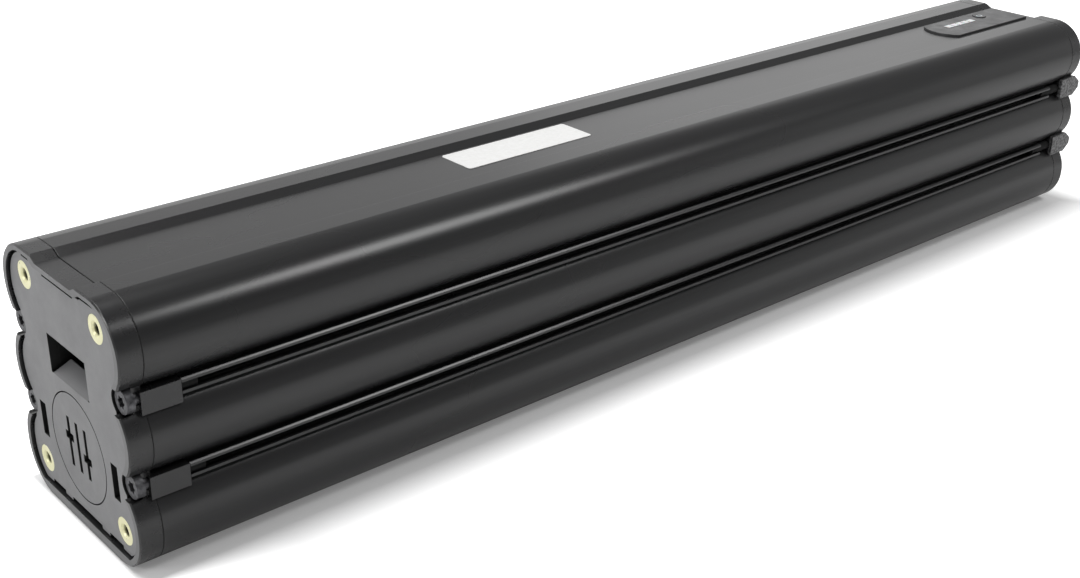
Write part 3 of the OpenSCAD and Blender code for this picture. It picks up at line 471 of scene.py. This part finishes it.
def insert_threads():
    """The screw thread inside each insert, a V-shaped helix on the bore."""
    bm = bmesh.new()
    for y, z in INSERTS:
        rows = []
        for k in range(THREAD_TURNS * THREAD_STEPS + 1):
            a = 2 * math.pi * k / THREAD_STEPS
            x = PLATE_FACE + (THREAD_START + THREAD_PITCH * k / THREAD_STEPS) * MM
            rows.append([bm.verts.new((x + dx * MM, (y + r * math.cos(a)) * MM,
                                       (z + r * math.sin(a)) * MM)) for dx, r in THREAD_SECTION])
        bridge(bm, rows)
    piece("insert_threads", bm, "brass", smooth=True)


def arc_band(bm, centre, r0, r1, height, start, sweep, steps=48):
    """A part of a flat ring with a square edge, on a face that looks up; start and sweep in turns."""
    rows = []
    for k in range(steps + 1):
        a = 2 * math.pi * (start + sweep * k / steps)
        rows.append([bm.verts.new((centre[0] + r * math.cos(a), centre[1] + r * math.sin(a), centre[2] + h))
                     for r, h in ((r0, 0), (r0, height), (r1, height), (r1, 0))])
    bridge(bm, rows, closed=True)


def block(bm, low, high):
    """A small box with its corners cut."""
    verts = bmesh.ops.create_cube(bm, size=1.0)["verts"]
    size = [b - a for a, b in zip(low, high)]
    for v in verts:
        v.co = Vector([a + (c + 0.5) * w for a, c, w in zip(low, v.co, size)])
    edges = list({e for v in verts for e in v.link_edges})
    bmesh.ops.bevel(bm, geom=edges, offset=min(size) * 0.3, segments=2, affect="EDGES")


# Marks on the button and the light bar, in metres
SYMBOL_SINK, SYMBOL_HEIGHT = 0.02 * MM, 0.05 * MM
SYMBOL_INNER, SYMBOL_OUTER = 0.85 * MM, 1.2 * MM
STEM_START, STEM_END, STEM_HALF = 0.4 * MM, 1.3 * MM, 0.17 * MM
SEGMENTS = 5
DIVIDER_HALF, DIVIDER_IN = 0.16 * MM, 0.1 * MM
DIVIDER_SINK, DIVIDER_RISE = 0.04 * MM, 0.03 * MM


def button_symbol():
    """An open ring with a stem, set in the top of the button."""
    low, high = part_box("power_button")
    x, y, z = (low[0] + high[0]) / 2, (low[1] + high[1]) / 2, high[2] - SYMBOL_SINK
    bm = bmesh.new()
    arc_band(bm, (x, y, z), SYMBOL_INNER, SYMBOL_OUTER, SYMBOL_HEIGHT, start=0.32, sweep=0.86)
    block(bm, (x + STEM_START, y - STEM_HALF, z), (x + STEM_END, y + STEM_HALF, z + SYMBOL_HEIGHT))
    piece("button_symbol", bm, "light", "button")


def light_bar_dividers():
    """Dark dividers between the segments of the light bar."""
    low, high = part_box("light_bar")
    bm = bmesh.new()
    for k in range(1, SEGMENTS):
        x = low[0] + k * (high[0] - low[0]) / SEGMENTS
        block(bm, (x - DIVIDER_HALF, low[1] + DIVIDER_IN, high[2] - DIVIDER_SINK),
              (x + DIVIDER_HALF, high[1] - DIVIDER_IN, high[2] + DIVIDER_RISE))
    piece("light_bar_dividers", bm, "panel")


insert_threads()
button_symbol()
light_bar_dividers()

# Studio
FLOOR_SIZE = 4.0
FLOOR_DROP = 0.05 * MM
# Band of painted shadow beside the pack: its width, the camera's white inside and past it, and where it
# narrows and widens along X.
SHADOW_WIDTH = 0.0125
SHADOW_GLOW, OPEN_GLOW = 0.145, 0.85
NARROW_X = (-0.205, -0.165)
WIDE_X = (-0.02, 0.12)
FRONT_FADE = 8.0


def floor_material():
    """Pale floor: matt white, with white of its own for the camera past a band beside the pack; the lamps'
    real shadow lies in that band, deepened by the band itself as painted shadow.
    """
    n = Nodes("studio_floor")
    x = n.part("Object", "X")
    beside = n.math("SUBTRACT", n.math("ABSOLUTE", n.part("Object", "Y")), HALF_WIDTH)
    width = n.math("ADD", n.spread(x, 0.05, 1.12, *NARROW_X), n.spread(x, 0.0, 0.4, *WIDE_X))
    beside = n.math("DIVIDE", beside, width)
    before = n.math("MULTIPLY", n.math("SUBTRACT", FRONT_X, x), FRONT_FADE)
    away = n.math("MAXIMUM", n.math("MAXIMUM", beside, before), n.math("SUBTRACT", x, FAR_X))
    # Painted shadow: the camera's white is held low in a band shaped like the shadow beside the pack.
    glow = n.spread(away, SHADOW_GLOW, OPEN_GLOW, 0.0, SHADOW_WIDTH)
    camera_ray = n.add("ShaderNodeLightPath").outputs["Is Camera Ray"]
    return n.set(Base_Color=(0.82, 0.82, 0.82), Roughness=0.9, Emission_Color=(1.0, 1.0, 1.0),
                 Emission_Strength=n.math("MULTIPLY", camera_ray, glow))


def floor():
    bm = bmesh.new()
    bmesh.ops.create_grid(bm, x_segments=2, y_segments=2, size=FLOOR_SIZE)
    mesh = bpy.data.meshes.new("floor")
    bm.to_mesh(mesh)
    bm.free()
    obj = bpy.data.objects.new("floor", mesh)
    obj.location.z = -FLOOR_DROP
    scene.collection.objects.link(obj)
    mesh.materials.append(floor_material())


def softbox(name, place, aim, size, radiance, shape="RECTANGLE"):
    """An area lamp whose power follows from its size and its radiance."""
    data = bpy.data.lights.new(name, "AREA")
    data.shape = shape
    data.size, data.size_y = size
    area = size[0] * size[1] * (math.pi / 4 if shape == "ELLIPSE" else 1)
    data.energy = radiance * math.pi * area
    obj = bpy.data.objects.new(name, data)
    obj.location = place
    obj.rotation_mode = "QUATERNION"
    obj.rotation_quaternion = (Vector(aim) - Vector(place)).to_track_quat("-Z", "Y")
    scene.collection.objects.link(obj)


floor()
softbox("key_softbox", place=(-0.35, 0.45, 1.15), aim=(-0.02, 0, 0.04), size=(0.8, 0.8), radiance=4.4)
softbox("end_softbox", place=(-1.30, 0.15, 0.55), aim=(-0.2, 0, 0.04), size=(0.5, 0.5), radiance=5.4)
softbox("strip_softbox", place=(0.32, -0.41, 0.66), aim=(0.32, 0, 0.05), size=(0.47, 0.22),
        radiance=5.8, shape="ELLIPSE")
softbox("back_softbox", place=(1.01, 0.79, 0.45), aim=(0.06, 0, 0.07), size=(0.6, 0.5), radiance=0.35)


class World:
    """The sky: plain light for matt surfaces, white for the camera, a shaped white for gloss."""

    def __init__(self, plain_level):
        world = bpy.data.worlds.new("studio_world")
        scene.world = world
        world.use_nodes = True
        self.tree = world.node_tree
        self.tree.nodes.clear()
        path = self.add("ShaderNodeLightPath")
        camera_ray = path.outputs["Is Camera Ray"]
        plain = self.background(plain_level)
        white = self.background(self.math("MAXIMUM", self.gloss(), camera_ray))
        mirrored = self.math("MAXIMUM", path.outputs["Is Glossy Ray"], path.outputs["Is Transmission Ray"])
        mix = self.add("ShaderNodeMixShader", self.math("MAXIMUM", camera_ray, mirrored), plain, white)
        self.add("ShaderNodeOutputWorld", mix.outputs[0])

    def add(self, kind, *values, **props):
        """A node, with its first inputs linked to outputs or set."""
        node = self.tree.nodes.new(kind)
        for key, value in props.items():
            setattr(node, key, value)
        for socket, value in zip(node.inputs, values):
            if isinstance(value, bpy.types.NodeSocket):
                self.tree.links.new(value, socket)
            else:
                socket.default_value = value
        return node

    def background(self, strength):
        return self.add("ShaderNodeBackground", (1, 1, 1, 1), strength).outputs[0]

    def math(self, op, *values):
        return self.add("ShaderNodeMath", *values, operation=op).outputs[0]

    def spread(self, value, start, end, low, high):
        """Maps start to end onto low to high."""
        return self.add("ShaderNodeMapRange", value, start, end, low, high).outputs["Result"]

    def gloss(self):
        """White behind the object, falling off towards -Y, overhead and towards the far end."""
        split = self.add("ShaderNodeSeparateXYZ", self.add("ShaderNodeTexCoord").outputs["Generated"])
        x, y, z = (split.outputs[axis] for axis in "XYZ")
        behind = self.math("MULTIPLY_ADD", x, 0.55, self.math("MULTIPLY", y, 0.8))
        side = self.spread(behind, start=-0.30, end=0.45, low=0.22, high=1.0)
        overhead = self.spread(z, start=0.29, end=0.48, low=1.0, high=0.22)
        far_end = self.spread(x, start=0.78, end=0.84, low=1.0, high=0.72)
        return self.math("MULTIPLY", self.math("MULTIPLY", side, overhead), far_end)


World(plain_level=0.30)
scene.view_settings.view_transform = "Standard"
